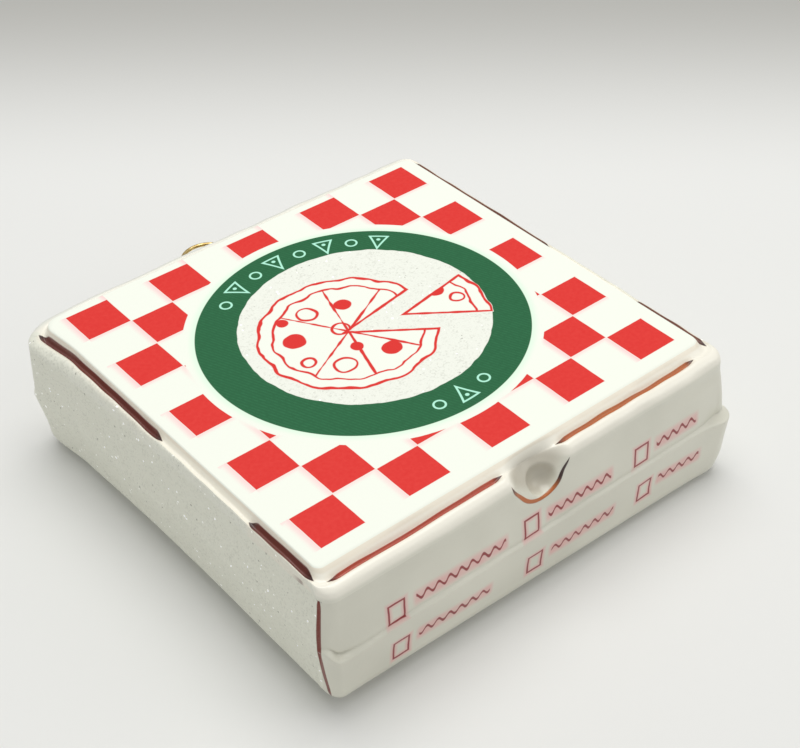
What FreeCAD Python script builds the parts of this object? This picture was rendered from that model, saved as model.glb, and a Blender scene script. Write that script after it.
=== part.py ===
"""A hanging ornament of mouth-blown glass in the shape of a closed, shallow square box.

The bubble is one piece: lid, tray, thumb notch and neck are all blown in one mould. A thin metal
cap sits on the neck, and a sprung wire passes through the cap and grips the neck from inside.

Millimetres. The origin is the centre of the face it lies on, +Z is up when it lies flat, the
notched front faces -Y and the neck leaves the back face along +Y.
"""
import FreeCAD, Part
import math
import os

V = FreeCAD.Vector
X_AXIS = V(1, 0, 0)
Y_AXIS = V(0, 1, 0)
Z_AXIS = V(0, 0, 1)

# The bubble's outside
body_width = 82.8           # side to side, at the tray's rim
body_depth = 80.0           # front to back, at the tray's rim
body_height = 25.4          # from the face it lies on to the printed panel
wall = 1.1                  # of glass
crease_height = 12.5        # of the moulded line between tray and lid
tray_taper = 1.6            # the tray is narrower at the bottom by this much on each side
bottom_round = 6.0          # of the tray's lower edge
front_left_corner = 2.9     # plan radii, crisper at the front as the mould has them
front_right_corner = 3.6
back_corner = 4.6
tray_levels = (90, 68, 46, 23, 0)   # degrees round its lower edge where it is sectioned, from the floor
tray_corner_growth = 0.35   # the plan radii grow with each section's inset

# The lid
lid_foot = 3.0              # it stands this deep in the tray
lid_step_sides = 0.5        # its foot stands back from the tray's rim, left and right
lid_step_ends = 0.7         # and front and back
lid_taper = 0.9             # it is narrower at the top by this much on each side
shoulder_round = 2.3        # of its upper edge, the rolled rim
crest_drop = 0.9            # the rolled rim's top lies below the printed panel

# The printed panel stands a little above the rolled rim
panel_margin_sides = 4.3    # from the tray's rim to the panel
panel_margin_front = 5.9
panel_margin_back = 4.1
panel_corner = 2.0
panel_slope = 0.8           # of its sloping border
panel_edge_round = 0.5

# Painted grooves at the foot of the panel, as (start, end) along the edge
groove_half = 0.75          # half-width of its sloping sides
groove_floor = 0.3          # width of its flat floor
groove_depth = 0.55
groove_taper = 2.5          # where it runs out at each end
side_groove_inset = 3.1     # from the tray's rim to the groove's middle
front_groove_inset = 4.2
left_grooves = ((-34.2, -20.2), (1.8, 35.2))
right_grooves = ((-34.4, -19.4), (0.4, 35.2))
front_grooves = ((-36.4, -6.6), (5.6, 34.0))

# Thumb notch in the front of the lid
notch_radius = 6.0
notch_side = -0.5           # of its middle, from the box's middle
notch_drop = 2.0            # of its middle, below the panel
notch_reach = 6.0           # into the box, from the tray's rim
hollow_radius = 3.2
hollow_side = 0.7
hollow_drop = 5.6
hollow_reach = 5.2

# Neck, at the middle of the back face
neck_height = 13.3
neck_radius = 4.6
neck_bore = 3.6             # radius
neck_length = 3.3           # past the tray's rim
neck_flare = 0.8            # its root widens from here, past the tray's rim

# Cap, of thin sheet metal
cap_clearance = 0.15
cap_sheet = 0.35
cap_skirt = 3.0
cap_flare = 0.45            # its scalloped edge turns out
cap_scallops = 8
cap_scallop_radius = 1.1
cap_bevel = 0.3             # of its pressed edge
hole_clearance = 0.12

# Hanger wire
wire_diameter = 0.8
wire_sides = 12             # of its section
leg_spacing = 3.8           # where the legs pass through the cap
loop_radius = 4.9           # to the wire's middle
loop_end = 14.2             # of the loop's far side, past the tray's rim
loop_bend = 1.2             # where leg turns into loop
leg_inside = 9.0            # of each leg, past the neck's inner edge
leg_clearance = 0.1

half_width = body_width / 2
half_depth = body_depth / 2
crest_height = body_height - crest_drop
seat = 0.05                 # room between parts that bear on each other


def leaning_walls(low_half, top_half, low, top, along):
    """Prism whose section has two leaning walls, run right through the box along the given axis."""
    length = 2 * max(body_width, body_depth)
    start = along * (-length / 2)
    across = V(1, 0, 0) if along.y else V(0, 1, 0)
    corners = []
    for half, z in ((-low_half, low), (low_half, low), (top_half, top), (-top_half, top)):
        corners.append(start + across * half + V(0, 0, z))
    return Part.Face(Part.makePolygon(corners + corners[:1])).extrude(along * length)


def tapered_block(low_half, top_half, low, top):
    """Block whose four walls lean: each half is half its size along (x, y) at that height."""
    sides = leaning_walls(low_half[0], top_half[0], low, top, Y_AXIS)
    ends = leaning_walls(low_half[1], top_half[1], low, top, X_AXIS)
    return sides.common(ends)


def level_edges(solid, z):
    """The solid's edges that lie at height z."""
    return [e for e in solid.Edges if abs(e.BoundBox.ZMin - z) < 0.01 and abs(e.BoundBox.ZMax - z) < 0.01]


def round_corners(solid, skin):
    """Fillet the four upright corners."""
    reach = back_corner + 1
    radii = {(-1, -1): front_left_corner, (1, -1): front_right_corner,
             (1, 1): back_corner, (-1, 1): back_corner}
    for (sx, sy), radius in radii.items():
        edges = []
        for e in solid.Edges:
            middle = e.BoundBox.Center
            near = sx * middle.x > half_width - reach and sy * middle.y > half_depth - reach
            if near and e.BoundBox.ZLength > 0.5:
                edges.append(e)
        solid = solid.makeFillet(max(radius - skin, 0.5 * radius), edges)
    return solid


def outline(half_x, half_y, z, radii):
    """Closed level wire: a rectangle with its own rounding at each corner, front left first."""
    edges = []
    corners = ((-1, -1), (1, -1), (1, 1), (-1, 1))
    arcs = []
    for k, ((sx, sy), r) in enumerate(zip(corners, radii)):
        middle = V(sx * (half_x - r), sy * (half_y - r), z)
        turn = math.pi * (1 + k / 2)
        arcs.append([middle + V(r * math.cos(turn + t), r * math.sin(turn + t), 0)
                     for t in (0, math.pi / 4, math.pi / 2)])
    for k in range(4):
        edges.append(Part.Arc(*arcs[k]).toShape())
        edges.append(Part.makeLine(arcs[k][2], arcs[(k + 1) % 4][0]))
    return Part.Wire(edges)


def tray(skin):
    """Round-bottomed lower half: level outlines stacked up its rounded profile, joined straight."""
    radius = bottom_round - skin
    plan = (front_left_corner, front_right_corner, back_corner, back_corner)
    stack = []
    for degrees in tray_levels:
        t = math.radians(degrees)
        z = skin + radius * (1 - math.sin(t))
        inset = tray_taper * (1 - z / crease_height) + radius * (1 - math.cos(t))
        radii = [max(r - skin, 0.5 * r) + tray_corner_growth * inset for r in plan]
        stack.append(outline(half_width - skin - inset, half_depth - skin - inset, z, radii))
    rim = [max(r - skin, 0.5 * r) for r in plan]
    inset = tray_taper * skin / crease_height
    stack.append(outline(half_width - skin - inset, half_depth - skin - inset, crease_height - skin, rim))
    return Part.makeLoft(stack, True, True)


def lid(skin):
    """Upper half: walls that lean in, rolled over at the top. Inside the glass that edge is bevelled."""
    low = (half_width - lid_step_sides - skin, half_depth - lid_step_ends - skin)
    top = (low[0] - lid_taper, low[1] - lid_taper)
    crest = crest_height - skin
    block = round_corners(tapered_block(low, top, crease_height - lid_foot, crest), skin)
    if skin:
        return block.makeChamfer(shoulder_round - skin, level_edges(block, crest))
    return block.makeFillet(shoulder_round, level_edges(block, crest))


def panel(skin):
    """The printed top: a low plateau with a sloping border. Inside the glass its edges are plain."""
    low = crest_height - wall - skin
    high = body_height - skin
    spread = panel_slope * (high - low) / crest_drop
    x = half_width - panel_margin_sides - skin
    y = half_depth - (panel_margin_front + panel_margin_back) / 2 - skin
    block = tapered_block((x + spread, y + spread), (x, y), low, high)
    block.translate(V(0, (panel_margin_front - panel_margin_back) / 2, 0))
    if skin:
        return block
    block = block.makeFillet(panel_corner, [e for e in block.Edges if e.BoundBox.ZLength > 0.01])
    return block.makeFillet(panel_edge_round, level_edges(block, high))


def groove(x, y, half_x, half_y):
    """Cutter for one painted groove: a sloping-sided trough, longer along one axis."""
    floor = crest_height - groove_depth
    rise = groove_depth + crest_drop
    spread_x, spread_y = (groove_taper, groove_half) if half_x > half_y else (groove_half, groove_taper)
    grow = rise / groove_depth
    low = (half_x - spread_x, half_y - spread_y)
    top = (low[0] + spread_x * grow, low[1] + spread_y * grow)
    block = tapered_block(low, top, floor, floor + rise)
    block.translate(V(x, y, 0))
    return block


def grooves():
    """The painted grooves. The glass is thinner under them: they don't show through inside."""
    half = groove_half + groove_floor / 2
    x = half_width - side_groove_inset
    y = -half_depth + front_groove_inset
    cutters = [groove(-x, (a + b) / 2, half, (b - a) / 2) for a, b in left_grooves]
    cutters += [groove(x, (a + b) / 2, half, (b - a) / 2) for a, b in right_grooves]
    cutters += [groove((a + b) / 2, y, (b - a) / 2, half) for a, b in front_grooves]
    return cutters


def notch(skin):
    """Scoop for the thumb with a deeper hollow low down in it. Inside, one bevelled block clears both."""
    scoop = V(notch_side, -half_depth + notch_reach - notch_radius, body_height - notch_drop)
    hollow = V(hollow_side, -half_depth + hollow_reach - hollow_radius, body_height - hollow_drop)
    if not skin:
        return [Part.makeSphere(notch_radius, scoop), Part.makeSphere(hollow_radius, hollow)]
    floor = hollow.z - hollow_radius - skin
    reach = max(notch_reach, hollow_reach) + skin
    low = (hollow_radius + skin, reach)
    top = (notch_radius + 2 * skin, reach)
    block = tapered_block(low, top, floor, body_height)
    block.translate(V(notch_side, -half_depth, 0))
    return [block]


def form(skin):
    """The whole box form, moved inwards by skin: 0 is the outside of the glass, wall its inside."""
    return tray(skin).fuse([lid(skin), panel(skin)]).cut(notch(skin))


def about_neck(profile):
    """Turn a closed (radius, y) profile round the neck's axis."""
    points = [V(r, y, neck_height) for r, y in profile]
    face = Part.Face(Part.makePolygon(points + points[:1]))
    return face.revolve(V(0, 0, neck_height), Y_AXIS, 360)


def neck_outside():
    """Neck with a flared root. It starts inside the back wall, and the cavity trims what is left over."""
    root = half_depth - lid_step_ends - 2 * wall
    flare_end = half_depth + neck_flare
    end = half_depth + neck_length
    return about_neck([(0, root), (neck_radius + flare_end - root, root), (neck_radius, flare_end),
                       (neck_radius, end), (0, end)])


def glass_body():
    """Blown shell: the outside form and its neck, less the same form moved in by the wall."""
    outside = form(0).cut(grooves()).fuse(neck_outside())
    bore_start = half_depth - lid_step_ends - wall * 3
    bore = Part.makeCylinder(neck_bore, neck_length + half_depth, V(0, bore_start, neck_height), Y_AXIS)
    return outside.cut([form(wall), bore])


def ornament_cap():
    """Pressed cap: a round-edged disc with two holes and a skirt with a turned-out, scalloped edge."""
    inner = neck_radius + cap_clearance
    outer = inner + cap_sheet
    under = half_depth + neck_length + seat
    top = under + cap_sheet
    edge = top - cap_skirt
    cap = about_neck([(0, top), (outer - cap_bevel, top), (outer, top - cap_bevel),
                      (outer, edge + 2 * cap_flare), (outer + cap_flare, edge),
                      (inner + cap_flare, edge), (inner, edge + 2 * cap_flare), (inner, under), (0, under)])
    cutters = []
    for i in range(cap_scallops):
        t = 2 * math.pi * (i + 0.5) / cap_scallops
        way = V(math.cos(t), 0, math.sin(t))
        cutters.append(Part.makeCylinder(cap_scallop_radius, 2 * outer, V(0, edge, neck_height), way))
    hole = wire_diameter / 2 + hole_clearance
    for side in (-1, 1):
        cutters.append(Part.makeCylinder(hole, 4 * cap_sheet,
                                         V(side * leg_spacing / 2, under - cap_sheet, neck_height), Y_AXIS))
    return cap.cut(cutters)


def wire_section(start, way):
    """Many-sided section as thick as the wire, square to its way."""
    across = Z_AXIS.cross(way)
    radius = wire_diameter / 2
    points = []
    for i in range(wire_sides):
        t = 2 * math.pi * (i + 0.5) / wire_sides
        points.append(start + across * (radius * math.cos(t)) + Z_AXIS * (radius * math.sin(t)))
    return Part.makePolygon(points + points[:1])


def hanger_wire():
    """One springy wire: a round loop and two straight legs that spread to grip the neck's inner edge."""
    under = half_depth + neck_length
    hole = V(leg_spacing / 2, under, neck_height)
    grip = V(neck_bore - wire_diameter / 2 - leg_clearance, half_depth - lid_step_ends - wall, neck_height)
    way = (hole - grip).normalize()
    outwards = V(way.y, -way.x, 0)
    tip = grip - way * leg_inside
    centre = V(0, half_depth + loop_end - wire_diameter / 2 - loop_radius, neck_height)
    # The bend touches the leg's line and the loop: its middle is at a known distance from both
    start = hole + outwards * loop_bend - centre
    reach = loop_radius + loop_bend
    along = -start.dot(way) - math.sqrt(start.dot(way) ** 2 - start.dot(start) + reach ** 2)
    bend = centre + start + way * along
    bend_start = bend - outwards * loop_bend
    bend_end = bend + (centre - bend).normalize() * loop_bend
    bend_middle = bend + ((bend_start + bend_end) * 0.5 - bend).normalize() * loop_bend
    far = centre + V(0, loop_radius, 0)

    def mirrored(point):
        return V(-point.x, point.y, point.z)

    path = Part.Wire([
        Part.makeLine(tip, bend_start),
        Part.Arc(bend_start, bend_middle, bend_end).toShape(),
        Part.Arc(bend_end, far, mirrored(bend_end)).toShape(),
        Part.Arc(mirrored(bend_end), mirrored(bend_middle), mirrored(bend_start)).toShape(),
        Part.makeLine(mirrored(bend_start), mirrored(tip)),
    ])
    return path.makePipeShell([wire_section(tip, way)], True, False)


pieces = {
    "glass_body": glass_body,
    "ornament_cap": ornament_cap,
    "hanger_wire": hanger_wire,
}

os.makedirs("parts", exist_ok=True)
for name, make in pieces.items():
    shape = make()
    solids = shape.Solids
    print(name, "valid", shape.isValid(), "solids", len(solids), "volume", round(shape.Volume, 1),
          "box", [round(v, 2) for v in (shape.BoundBox.XMin, shape.BoundBox.XMax, shape.BoundBox.YMin,
                                        shape.BoundBox.YMax, shape.BoundBox.ZMin, shape.BoundBox.ZMax)])
    shape.exportStep("parts/" + name + ".step")
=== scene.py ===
# %% [markdown]
# # Dressing a blown-glass pizza box
# The object is a hanging ornament: one bubble of glass, blown in a mould shaped like a closed pizza box,
# lacquered in pearl, printed on top, glittered on its sides and touched up with copper paint. The solids
# give the sizes. This lesson adds the soft, uneven skin of blown glass, the print, the glitter, the
# hand-painted lines and the gold hanger.

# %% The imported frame
import bpy
import math
import numpy as np
from functools import reduce
from mathutils import Matrix, Vector


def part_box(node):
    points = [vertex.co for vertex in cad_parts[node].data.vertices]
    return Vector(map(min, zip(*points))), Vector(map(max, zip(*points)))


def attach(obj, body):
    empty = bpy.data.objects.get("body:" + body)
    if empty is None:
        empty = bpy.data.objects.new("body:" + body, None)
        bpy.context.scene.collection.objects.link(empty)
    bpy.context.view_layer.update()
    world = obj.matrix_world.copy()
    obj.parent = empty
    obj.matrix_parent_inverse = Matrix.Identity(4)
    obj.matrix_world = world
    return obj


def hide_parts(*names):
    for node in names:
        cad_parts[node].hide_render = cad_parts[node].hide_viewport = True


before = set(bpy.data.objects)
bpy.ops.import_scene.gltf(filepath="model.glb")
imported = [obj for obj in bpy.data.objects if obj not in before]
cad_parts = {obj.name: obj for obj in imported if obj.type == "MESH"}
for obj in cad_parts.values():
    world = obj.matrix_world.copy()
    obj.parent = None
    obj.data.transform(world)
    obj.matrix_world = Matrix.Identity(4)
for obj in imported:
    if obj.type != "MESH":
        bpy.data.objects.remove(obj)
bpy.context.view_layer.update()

MM = 0.001
print("nodes:", sorted(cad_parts))

# %% [markdown]
# The camera looks down on the box's left front corner. Its turn, height and distance were worked out from
# the corners of the printed chequers, which lie in one plane and have a known spacing.

# %% Camera


def add_object(name, data):
    """New object in the scene."""
    added = bpy.data.objects.new(name, data)
    bpy.context.scene.collection.objects.link(added)
    return added


VIEW_TURN = math.radians(-39.946)  # round the box, from straight ahead
VIEW_RISE = math.radians(39.536)  # above the horizon
VIEW_ROLL = math.radians(0.18)
VIEW_DISTANCE = 246.1  # mm
VIEW_AIM = np.array([1.05, -5.05, 19.89])  # mm, the point in the middle of the picture
LENS = 70.0
SENSOR = 36.0

view_back = np.array([math.sin(VIEW_TURN) * math.cos(VIEW_RISE),
                      -math.cos(VIEW_TURN) * math.cos(VIEW_RISE), math.sin(VIEW_RISE)])
view_level = np.array([math.cos(VIEW_TURN), math.sin(VIEW_TURN), 0.0])
view_up = np.cross(view_back, view_level)
level_rolled = math.cos(VIEW_ROLL) * view_level - math.sin(VIEW_ROLL) * view_up
up_rolled = math.sin(VIEW_ROLL) * view_level + math.cos(VIEW_ROLL) * view_up
camera_data = bpy.data.cameras.new("camera")
camera_data.lens = LENS
camera_data.sensor_width = SENSOR
camera_data.sensor_fit = "HORIZONTAL"
camera_data.clip_start = 0.01
camera = add_object("camera", camera_data)
place = (VIEW_AIM + VIEW_DISTANCE * view_back) * MM
turn = Matrix(np.stack([level_rolled, up_rolled, view_back], axis=1).tolist()).to_4x4()
camera.matrix_world = Matrix.Translation(Vector(place)) @ turn
bpy.context.scene.camera = camera
print("camera at", [round(float(v), 4) for v in place])

# %% [markdown]
# Soft light from a large lamp above, a weaker one from the front right, and a pale world. The floor is a
# pale sheet with painted shade far behind the box, standing in for the shade where a sheet starts to rise.

# %% Light
LAMP_AIM = Vector((0, 0, 0.01))
# Place and width in m, power in W and colour
LAMPS = {"lamp_above": ((0.06, 0.08, 0.62), 0.5, 2.55, (1.0, 0.995, 0.98)),
         "lamp_front": ((0.45, -0.42, 0.42), 0.35, 0.5, (1.0, 0.99, 0.97))}
WORLD_COLOUR = (0.95, 0.96, 0.97, 1)
WORLD_STRENGTH = 0.5

bpy.context.scene.view_settings.view_transform = "Standard"
for name, (place, size, power, colour) in LAMPS.items():
    lamp_data = bpy.data.lights.new(name, "AREA")
    lamp_data.shape = "SQUARE"
    lamp_data.size = size
    lamp_data.energy = power
    lamp_data.color = colour
    lamp = add_object(name, lamp_data)
    lamp.location = place
    lamp.rotation_euler = (LAMP_AIM - Vector(place)).to_track_quat("-Z", "Y").to_euler()

world = bpy.data.worlds.new("world")
bpy.context.scene.world = world
world.use_nodes = True
background = world.node_tree.nodes["Background"].inputs
background["Color"].default_value = WORLD_COLOUR
background["Strength"].default_value = WORLD_STRENGTH

# %% [markdown]
# Every finish here is a formula on the object's own coordinates, so it can't slide or blur. A small class
# lets a formula be written as ordinary arithmetic: each operation adds one Math node and gives back its
# output. Lengths in the formulas are millimetres.

# %% Formulas as nodes


def linear(code):
    """Scene-linear colour of a six-digit colour code."""
    parts = [int(code[i:i + 2], 16) / 255 for i in (0, 2, 4)]
    return tuple(c / 12.92 if c <= 0.04045 else ((c + 0.055) / 1.055) ** 2.4 for c in parts) + (1.0,)


def join(value, socket):
    """Feed a socket from a field or another socket, or set it to a plain value."""
    if isinstance(value, Field):
        value = value.socket
    if isinstance(value, bpy.types.NodeSocket):
        socket.id_data.links.new(value, socket)
    else:
        socket.default_value = value


def add_node(tree, kind, *values, **settings):
    """New shader node with those settings. The values feed its inputs in their order."""
    node = tree.nodes.new("ShaderNode" + kind)
    for name, setting in settings.items():
        setattr(node, name, setting)
    for value, socket in zip(values, node.inputs):
        join(value, socket)
    return node


class Field:
    """A value that changes over a surface: the output of a node, with arithmetic."""

    def __init__(self, socket):
        self.socket = socket

    def math(self, operation, *others):
        return Field(add_node(self.socket.id_data, "Math", self, *others, operation=operation).outputs[0])

    def __add__(self, other):
        return self.math("ADD", other)

    def __sub__(self, other):
        return self.math("SUBTRACT", other)

    def __mul__(self, other):
        return self.math("MULTIPLY", other)

    def __rsub__(self, other):
        return self.math("MULTIPLY_ADD", -1.0, other)

    def __abs__(self):
        return self.math("ABSOLUTE")

    def either(self, other):
        """The larger of two masks."""
        return self.math("MAXIMUM", other)

    def both(self, other):
        """The smaller of two masks."""
        return self.math("MINIMUM", other)

    def step(self, low, high, rise=(0.0, 1.0)):
        """Smooth rise from low to high."""
        node = add_node(self.socket.id_data, "MapRange", self, low, high, *rise,
                        interpolation_type="SMOOTHSTEP")
        return Field(node.outputs["Result"])

    def inside(self, edge, blur=0.06):
        """1 where the field is under the edge, 0 above it, with a narrow blur."""
        return self.step(edge - blur, edge + blur, (1.0, 0.0))

    def outside(self, edge, blur=0.06):
        """0 where the field is under the edge, 1 above it."""
        return self.step(edge - blur, edge + blur)


def length_of(a, b):
    """Distance from two offsets at right angles."""
    return (a * a + b * b).math("SQRT")


def open_group(name, *inputs):
    """New node group. Gives back its tree and a field for each of its inputs."""
    tree = bpy.data.node_groups.new(name, "ShaderNodeTree")
    for label in inputs:
        tree.interface.new_socket(label, in_out="INPUT", socket_type="NodeSocketFloat")
    source = tree.nodes.new("NodeGroupInput")
    return tree, [Field(source.outputs[label]) for label in inputs]


def close_group(tree, fields):
    """Give a group its named outputs, and give the group back."""
    for label in fields:
        kind = "NodeSocketVector" if label == "Normal" else "NodeSocketFloat"
        tree.interface.new_socket(label, in_out="OUTPUT", socket_type=kind)
    target = tree.nodes.new("NodeGroupOutput")
    for label, field in fields.items():
        join(field, target.inputs[label])
    return tree


def own_position(tree):
    """The surface's own position, a vector in metres."""
    return add_node(tree, "TexCoord").outputs["Object"]


def in_mm(tree, where):
    """A position's x, y and z in millimetres."""
    return [Field(socket) * 1000.0 for socket in add_node(tree, "SeparateXYZ", where).outputs]


def noise(tree, where, per_metre, detail=2.0):
    """Noise field around 0.5 with that many bumps to the metre."""
    return Field(add_node(tree, "TexNoise", where, 0.0, per_metre, detail).outputs["Fac"])


def mix(tree, mask, low, high, kind="RGBA"):
    """Low where the mask is 0 and high where it is 1. Each is a colour, or a socket of that kind."""
    node = add_node(tree, "Mix", mask, data_type=kind)
    for label, value in (("A", low), ("B", high)):
        join(value, [s for s in node.inputs if s.name == label and s.type == kind][0])
    return [s for s in node.outputs if s.type == kind][0]


def plain_material(name, colour, roughness, metallic=0.0):
    """Principled material to build on. Gives back the material, its tree and its shader's inputs."""
    material = bpy.data.materials.new(name)
    material.use_nodes = True
    shader = material.node_tree.nodes["Principled BSDF"].inputs
    shader["Base Color"].default_value = colour
    shader["Roughness"].default_value = roughness
    shader["Metallic"].default_value = metallic
    return material, material.node_tree, shader


# %% Floor
FLOOR_NEAR = linear("e6e6e3")
# painted shade: the sheet far behind the box is darker, as where a real sheet rises away from the lamps
FLOOR_FAR_SHADE = linear("b1b0ab")
FADE_START = 0.08  # m behind the box, along the line of sight
FADE_END = 0.18
FLOOR_REACH = 1.6

floor_mesh = bpy.data.meshes.new("floor")
corners = [(x * FLOOR_REACH, y * FLOOR_REACH, 0) for x, y in ((-1, -1), (1, -1), (1, 1), (-1, 1))]
floor_mesh.from_pydata(corners, [], [(0, 1, 2, 3)])
floor = add_object("floor", floor_mesh)
floor_material, floor_tree, floor_shader = plain_material("pale_sheet", FLOOR_NEAR, 0.75)
floor_x, floor_y = in_mm(floor_tree, own_position(floor_tree))[:2]
away = (floor_x * (-math.sin(VIEW_TURN)) + floor_y * math.cos(VIEW_TURN)) * MM
# the far floor is darkened by painted shade, not by the lamps
join(mix(floor_tree, away.step(FADE_START, FADE_END), FLOOR_NEAR, FLOOR_FAR_SHADE), floor_shader["Base Color"])
floor_mesh.materials.append(floor_material)

# %% [markdown]
# ## The bubble
# The glass is one closed skin. It is made as rings carried up a profile: each ring is a rectangle with
# rounded corners, and the rings follow the flat bottom, the large lower round, the tray's wall, the
# moulded line, the lid's wall, the rolled rim, the slope and the printed panel. A point is known by its
# ring and its place round the ring, so details can be laid along either.

# %% Sizes of the bubble, in mm. Triples are front, sides, back
glass_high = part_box("glass_body")[1]
HALF_X = glass_high.x / MM
HALF_Y = 40.0
PANEL_TOP = glass_high.z / MM
WALL_TOP = 22.2  # the rolled rim starts here
CREST = np.array([24.5, 24.5, 24.8])  # top of the rolled rim
CREASE = 12.5  # height of the moulded line
STEP = np.array([0.5, 0.15, 0.3])  # the lid's foot stands back from the tray's rim
CREST_IN = np.array([3.36, 2.1, 2.3])  # from the tray's rim to the rolled rim's top
GROOVE_IN = np.array([4.2, 2.65, 2.6])
PANEL_IN = np.array([5.9, 3.35, 3.3])
CORNERS = np.array([2.9, 2.3, 4.6, 4.2])  # front left, front right, back right, back left
SIDE_COLUMNS = (216, 130, 100, 130)  # front, right, back, left
CORNER_COLUMNS = 15
NOTCH_X = 0.0  # the thumb notch's middle

# %% [markdown]
# Each corner of a ring is a quarter circle about its own centre, and the columns of a straight side
# divide the line between two corner ends in fixed shares, closer together round the thumb notch.

# %% Columns round the box


def front_shares():
    """Shares along the front side: the columns lie twice as close within 8 mm of the notch."""
    x = np.linspace(-1, 1, 2001) * (HALF_X - 3.2)
    crowd = 1 + 1.1 * np.exp(-((x - NOTCH_X) / 8) ** 4)
    run = np.concatenate([[0], np.cumsum((crowd[1:] + crowd[:-1]) / 2)])
    even = (np.arange(SIDE_COLUMNS[0]) + 1) / (SIDE_COLUMNS[0] + 1)
    return np.interp(even, run / run[-1], np.linspace(0, 1, 2001))


def column_table():
    """Every column's place: on a corner or not, its number, its share and its outward angle.

    They go round from the front left corner: the corner's quarter circle, then the side after it."""
    parts = []
    for k, count in enumerate(SIDE_COLUMNS):
        arc = np.linspace(0, 1, CORNER_COLUMNS)
        line = front_shares() if k == 0 else (np.arange(count) + 1) / (count + 1)
        turned = np.concatenate([arc, np.ones(count)])
        parts.append((np.repeat([True, False], [len(arc), count]), np.full(len(turned), k),
                      np.concatenate([arc, line]), math.pi * (1 + k / 2) + math.pi / 2 * turned))
    return [np.concatenate(column) for column in zip(*parts)]


on_corner, number, share, angle = column_table()
outward = np.stack([np.cos(angle), np.sin(angle)], axis=1)
sides = np.stack([np.maximum(0, -outward[:, 1]) ** 2, outward[:, 0] ** 2,
                  np.maximum(0, outward[:, 1]) ** 2], axis=1)


def ring(inset, radii, size=1.0):
    """Plan of one ring: a rectangle inset from the tray's rim by (front, sides, back), with four corner
    radii. A size under 1 draws it in towards its own middle."""
    x = HALF_X - inset[1]
    front, back = inset[0] - HALF_Y, HALF_Y - inset[2]
    centre = np.stack([np.array([-x, x, x, -x]) + radii * [1, -1, -1, 1],
                       np.array([front, front, back, back]) + radii * [1, 1, -1, -1]], axis=1)
    turn = math.pi * (1 + np.arange(4) / 2)
    arrive = centre + radii[:, None] * np.stack([np.cos(turn), np.sin(turn)], axis=1)
    leave = centre + radii[:, None] * np.stack([-np.sin(turn), np.cos(turn)], axis=1)
    arc = centre[number] + radii[number, None] * outward
    line = leave[number] + (arrive[(number + 1) % 4] - leave[number]) * share[:, None]
    middle = np.array([0, (front + back) / 2])
    return middle + (np.where(on_corner[:, None], arc, line) - middle) * size


rim = ring(np.zeros(3), CORNERS)
rim_x, rim_y = rim.T

# %% [markdown]
# Blown glass is never flat. A sum of slow waves makes the walls swell and dip by a fraction of a
# millimetre, as glass does where it chilled against the mould.

# %% Unevenness


def ripple(a, b, phase, longest=34.0):
    """Uneven field of about -1 to 1 over two lengths: six waves, each shorter and weaker than the last,
    and turned by the golden angle."""
    total = 0
    for k in range(6):
        wave = longest * 0.74 ** k
        turn = phase + 2.4 * k
        along = a * math.cos(turn) + b * math.sin(turn)
        total = total + 0.82 ** k * np.sin(2 * math.pi * along / wave + phase * (k + 1.7))
    return total / 2.4


def smooth_step(v, low, high):
    """0 below low, 1 above high and a smooth rise between."""
    t = np.clip((v - low) / (high - low), 0, 1)
    return t * t * (3 - 2 * t)


def plateau(v, a, b, c, d):
    """Smooth rise from a to b, and smooth fall from c to d."""
    return smooth_step(v, a, b) * (1 - smooth_step(v, c, d))


def hump(v, middle, half):
    """Bell curve: 1 at the middle, about a third at half from it."""
    return np.exp(-((v - middle) / half) ** 2)


# %% [markdown]
# No two sides of a blown box are alike. The lower edge is rounder on the left than at the right of the
# front, and the tray bulges at the near right corner. So each of these sizes is a value for every place
# round the box.

# %% Sizes that change round the box
TRAY_BULGE = 0.8
CORNER_LIFT = 2.7  # the moulded line climbs to the near corner
LEFT_LEAN = 0.55  # the left wall leans in towards the front
MOULD_LINE = 0.2  # how deep the moulded line is
CORNER_PINCH = 0.5  # and how much deeper by the near corner
to_right = (rim_x + HALF_X) / (2 * HALF_X)
to_back = (rim_y + HALF_Y) / (2 * HALF_Y)
left = sides[:, 1] * (outward[:, 0] < 0)
right = sides[:, 1] * (outward[:, 0] > 0)
front, back = sides[:, 0], sides[:, 2]
bottom_round = (front * (4.8 - 2.3 * to_right) + left * (6.2 - 2.4 * smooth_step(to_back, 0.55, 1))
                + right * 2.6 + back * 3.8)
tray_taper = front * (1.6 - 1.3 * to_right) + left * (1.9 + 0.3 * to_back) + right * 0.1 + back * 1.0
lid_top_in = front * 1.46 + left * (1.2 - 1.0 * smooth_step(to_back, 0.3, 1)) + right * 1.1 + back * 0.35
corner_bump = np.maximum(np.abs(outward[:, 1]), 0.25) * hump(np.abs(rim_x), HALF_X, 4.5)
step = sides @ STEP + (0.95 * front + 0.3 * back) * corner_bump
tray_bulge = TRAY_BULGE * hump(rim_x, HALF_X, 4.0) * hump(rim_y, -HALF_Y, 4.0)
line_lift = np.where(rim_y < 0, CORNER_LIFT * hump(rim_x, -HALF_X, 1.7), 0) * (1 - 0.4 * sides[:, 1])
line_lift = line_lift + front * 0.35 * ripple(rim_x, 0, 1.1)

# %% [markdown]
# The tray and lid walls are offsets of the tray's rim. A quarter of an ellipse joins the walls to the
# flat bottom, and another joins them to the top of the rolled rim.

# %% Rings of the walls


def offset_plan(inset, radii):
    """The tray's rim moved in by one inset for each column, ending with about those corner radii."""
    return ring(np.zeros(3), radii + inset.mean()) - outward * inset[:, None]


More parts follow.
